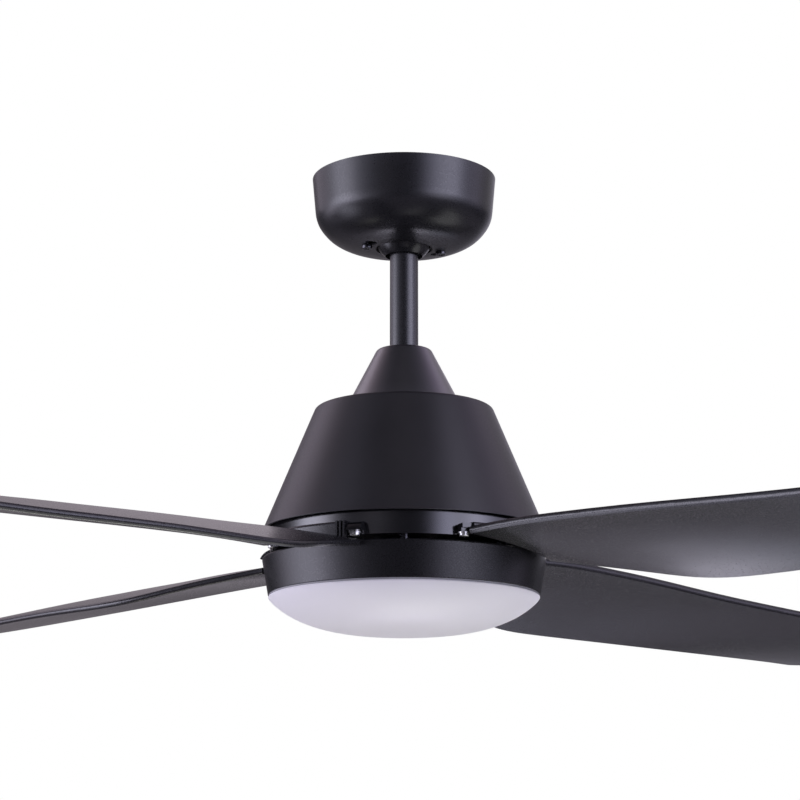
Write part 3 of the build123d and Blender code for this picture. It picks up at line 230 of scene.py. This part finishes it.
FINISH = {
    "ceiling_bracket": zinc_plate, "canopy": satin, "canopy_screws": black_screw,
    "terminal_block": white_paint, "earth_screw": zinc, "ball_seat_liner": nylon,
    "hanger_ball": ball_mat, "ball_cross_pin": zinc, "downrod": rod_mat,
    "motor_yoke": cast_black, "clevis_pin": zinc, "clevis_clip": zinc,
    "yoke_set_screws": black_screw, "motor_cover": cone, "motor_cover_screws": zinc,
    "motor_driver": cast_black, "motor_shaft": ground, "shaft_retaining_ring": ground,
    "stator_hub": alloy, "stator_core": lamination, "stator_windings": copper,
    "upper_bearing_inner_race": ground, "lower_bearing_inner_race": ground,
    "upper_bearing_outer_race": ground, "lower_bearing_outer_race": ground,
    "upper_bearing_balls": ground, "lower_bearing_balls": ground,
    "shaft_spacer_nut": dark_zinc, "light_housing": drum, "light_mount_plate": zinc_plate,
    "light_mount_screws": dark_zinc, "shaft_lock_nut": zinc, "led_tray": white_paint,
    "led_tray_screws": zinc, "led_board": white_paint, "led_chips": led,
    "led_driver": cast_black, "lens_seal": seal, "rotor_upper_shell": alloy,
    "rotor_lower_shell": alloy, "rotor_shell_screws": zinc, "rotor_back_iron": lamination,
    "rotor_magnets": magnet, "blade_carrier": gloss, "carrier_screws": black_screw,
    "blade_1": blade_mat, "blade_2": blade_mat, "blade_3": blade_mat, "blade_4": blade_mat,
    "blade_brackets": gloss, "blade_screws": zinc, "coupling_cover": hood, "lens_diffuser": opal,
}

for name, node in NODES.items():
    node.data.materials.clear()
    node.data.materials.append(FINISH[name])
    for p in node.data.polygons:
        p.use_smooth = True

# ---------------------------------------------------------------------------
# Stage: a pale floor far below that throws light back up, and over it the wide
# pale floor that the camera sees, fading into the white room.
# ---------------------------------------------------------------------------


def plane(name, half, z):
    mesh = bpy.data.meshes.new(name)
    mesh.from_pydata([(-half, -half, z), (half, -half, z), (half, half, z), (-half, half, z)], [], [(0, 1, 2, 3)])
    o = bpy.data.objects.new(name, mesh)
    scene.collection.objects.link(o)
    return o


floor = plane("floor", 14.0, -5.6)
fm = Mat("floor")
fn = fm.noise(2.0, 3.0)
fm.link(fm.mix(fn, (0.80, 0.80, 0.80), (0.84, 0.84, 0.84)), fm.b.inputs["Base Color"])
fm.b.inputs["Roughness"].default_value = 0.9
floor.data.materials.append(fm.m)
floor.visible_camera = False

wide = plane("floor_seen", 90.0, -5.59)
wm = Mat("floor_seen")
far = wm.node("ShaderNodeVectorMath", operation="LENGTH")
wm.link(wm.obj(), far.inputs[0])
fade = wm.remap(far.outputs["Value"], 5.6, 40.0, 0.0, 1.0)
near = wm.mix(wm.noise(1.2, 4.0), (0.73, 0.73, 0.735), (0.77, 0.77, 0.775))
wm.link(wm.mix(fade, near, (1.0, 1.0, 1.0)), wm.b.inputs["Emission Color"])
wm.b.inputs["Emission Strength"].default_value = 1.0
wm.b.inputs["Base Color"].default_value = (0.0, 0.0, 0.0, 1.0)
wm.b.inputs["Specular IOR Level"].default_value = 0.0
wide.data.materials.append(wm.m)
wide.visible_diffuse = wide.visible_glossy = False
wide.visible_transmission = wide.visible_shadow = False

# Light rig. Azimuth 0 is on the camera's side, positive to the picture's
# right; each soft light is a round lobe: azimuth, elevation, spread in
# degrees, strength, tint.
SOFT = [
    (-110.0, -12.0, 10.0, 2.1, (0.97, 0.91, 1.12)),
    (-72.0, -12.0, 11.0, 3.4, (0.94, 0.91, 1.15)),
    (-48.0, -12.0, 11.0, 1.0, (0.94, 0.91, 1.15)),
    (-92.0, 2.0, 9.0, 4.9, (0.94, 0.93, 1.13)),
    (-76.0, 2.0, 9.0, 4.4, (0.96, 0.93, 1.11)),
    (36.0, -8.0, 8.0, 1.2, (0.95, 0.90, 1.15)),
    (50.0, -10.0, 7.0, 0.9, (0.95, 0.92, 1.13)),
    (36.0, 4.0, 8.0, 2.9, (0.90, 0.89, 1.21)),
    (50.0, 0.0, 8.0, 3.3, (0.92, 0.92, 1.16)),
    (64.0, 4.0, 8.0, 4.0, (0.92, 0.90, 1.18)),
    (78.0, 4.0, 8.0, 1.8, (0.90, 0.89, 1.21)),
    (100.0, 7.0, 9.5, 1.25, (0.95, 0.87, 1.18)),
    (160.0, 7.0, 12.0, 0.62, (0.96, 0.93, 1.11)),
    (-170.0, -6.0, 9.0, 0.18, (1.04, 0.93, 1.03)),
    (180.0, 26.0, 14.0, 0.57, (1.05, 0.92, 1.03)),
    (120.0, 46.0, 12.0, 0.64, (1.00, 0.82, 1.18)),
    (-120.0, 46.0, 12.0, 0.50, (1.10, 0.86, 1.04)),
    (-25.0, 6.0, 10.0, 0.27, (0.98, 0.92, 1.10)),
    (0.0, 43.0, 11.0, 0.30, (1.0, 0.95, 1.05)),
]
# Area lights: place, width, depth (None: round), what they face, radiance, tint.
CARDS = [
    ("card_floor_1", (-0.5, 0.4, -1.63), 0.50, 0.40, (-0.5, 0.4, 0.0), 2.3, (1.05, 1.03, 0.92)),
    ("card_floor_2", (0.1, 0.85, -1.63), 0.55, 0.40, (0.1, 0.85, 0.0), 3.3, (1.03, 1.04, 0.93)),
    ("card_floor_3", (0.0, 1.7, -1.63), 0.50, 0.56, (0.0, 1.7, 0.0), 3.4, (0.96, 0.93, 1.11)),
    ("card_floor_4", (0.5, 2.0, -1.63), 0.50, 0.40, (0.5, 2.0, 0.0), 1.2, (0.88, 0.94, 1.18)),
    ("card_left", (-2.12, 0.0, -1.40), 1.10, None, (0.0, 0.0, -0.27), 2.2, (0.94, 0.93, 1.13)),
    ("card_under", (0.3, 0.0, -0.85), 0.90, None, (0.0, 0.0, -0.27), 1.02, (1.00, 1.01, 0.99)),
    ("card_up_left", (-0.9, -0.6, 0.35), 0.80, None, (0.0, 0.0, -0.27), 0.53, (0.90, 0.91, 1.19)),
    ("card_up_back_left", (-0.9, 0.6, 0.35), 0.80, None, (0.0, 0.0, -0.27), 0.73, (1.01, 0.90, 1.09)),
    ("card_up_right", (0.9, -0.6, 0.35), 0.80, None, (0.0, 0.0, -0.27), 1.76, (0.94, 0.91, 1.15)),
    ("card_up_back_right", (0.9, 0.6, 0.35), 0.80, None, (0.0, 0.0, -0.27), 0.24, (1.03, 0.97, 1.0)),
]
FILL = (0.02, 0.02, 0.021)


def aim(azimuth, elevation):
    a, e = math.radians(azimuth), math.radians(elevation)
    return Vector((math.sin(a) * math.cos(e), -math.cos(a) * math.cos(e), math.sin(e)))


world = bpy.data.worlds.new("room")
scene.world = world
world.use_nodes = True
wt = world.node_tree
wt.nodes.clear()
wout = wt.nodes.new("ShaderNodeOutputWorld")
seen = wt.nodes.new("ShaderNodeBackground")
seen.inputs["Color"].default_value = (1.0, 1.0, 1.0, 1.0)
lit = wt.nodes.new("ShaderNodeBackground")
path = wt.nodes.new("ShaderNodeLightPath")
mixw = wt.nodes.new("ShaderNodeMixShader")
wt.links.new(path.outputs["Is Camera Ray"], mixw.inputs[0])
wt.links.new(lit.outputs[0], mixw.inputs[1])
wt.links.new(seen.outputs[0], mixw.inputs[2])
wt.links.new(mixw.outputs[0], wout.inputs["Surface"])
sky = wt.nodes.new("ShaderNodeTexCoord").outputs["Generated"]


def vec_node(op, a, b):
    n = wt.nodes.new("ShaderNodeVectorMath")
    n.operation = op
    for i, v in enumerate((a, b)):
        if hasattr(v, "is_output"):
            wt.links.new(v, n.inputs[i])
        elif op == "SCALE" and i == 1:
            n.inputs["Scale"].default_value = v
        else:
            n.inputs[i].default_value = v
    return n


def lobe(azimuth, elevation, spread, strength, tint):
    """Soft round light in the room: strength * exp(k (cos(angle) - 1))."""
    k = 1.0 / math.radians(spread) ** 2
    dot = vec_node("DOT_PRODUCT", sky, tuple(aim(azimuth, elevation)))
    m1 = wt.nodes.new("ShaderNodeMath")
    m1.operation = "MULTIPLY_ADD"
    m1.inputs[1].default_value = k
    m1.inputs[2].default_value = -k
    wt.links.new(dot.outputs["Value"], m1.inputs[0])
    m2 = wt.nodes.new("ShaderNodeMath")
    m2.operation = "EXPONENT"
    wt.links.new(m1.outputs[0], m2.inputs[0])
    n = wt.nodes.new("ShaderNodeVectorMath")
    n.operation = "SCALE"
    n.inputs[0].default_value = tuple(strength * c for c in tint)
    wt.links.new(m2.outputs[0], n.inputs["Scale"])
    return n.outputs["Vector"]


total = None
for row in SOFT:
    term = lobe(*row)
    if total is None:
        total = vec_node("ADD", term, FILL).outputs["Vector"]
    else:
        total = vec_node("ADD", total, term).outputs["Vector"]
wt.links.new(total, lit.inputs["Color"])
lit.inputs["Strength"].default_value = 1.0


def card(name, place, width, depth, target, radiance, tint):
    """Soft area light, round where it has no depth."""
    light = bpy.data.lights.new(name, "AREA")
    light.size = width
    if depth is None:
        light.shape = "DISK"
        area = math.pi * width * width / 4.0
    else:
        light.shape = "RECTANGLE"
        light.size_y = depth
        area = width * depth
    light.energy = radiance * math.pi * area
    light.color = tint
    o = bpy.data.objects.new(name, light)
    o.location = place
    o.rotation_mode = "QUATERNION"
    o.rotation_quaternion = (Vector(place) - Vector(target)).to_track_quat("Z", "Y")
    o.visible_camera = False
    scene.collection.objects.link(o)
    return o


for row in CARDS:
    card(*row)

# ---------------------------------------------------------------------------
# Camera
# ---------------------------------------------------------------------------
cam = bpy.data.objects.new("camera", bpy.data.cameras.new("camera"))
cam.data.sensor_width = 36.0
cam.data.lens = 106.3
cam.data.clip_start = 0.05
cam.data.clip_end = 60.0
cam.location = (-0.00304, -1.7176, -0.5479)
cam.rotation_euler = (math.radians(90 + 12.36), 0, 0)
scene.collection.objects.link(cam)
scene.camera = cam
scene.view_settings.view_transform = "Standard"
scene.view_settings.look = "None"
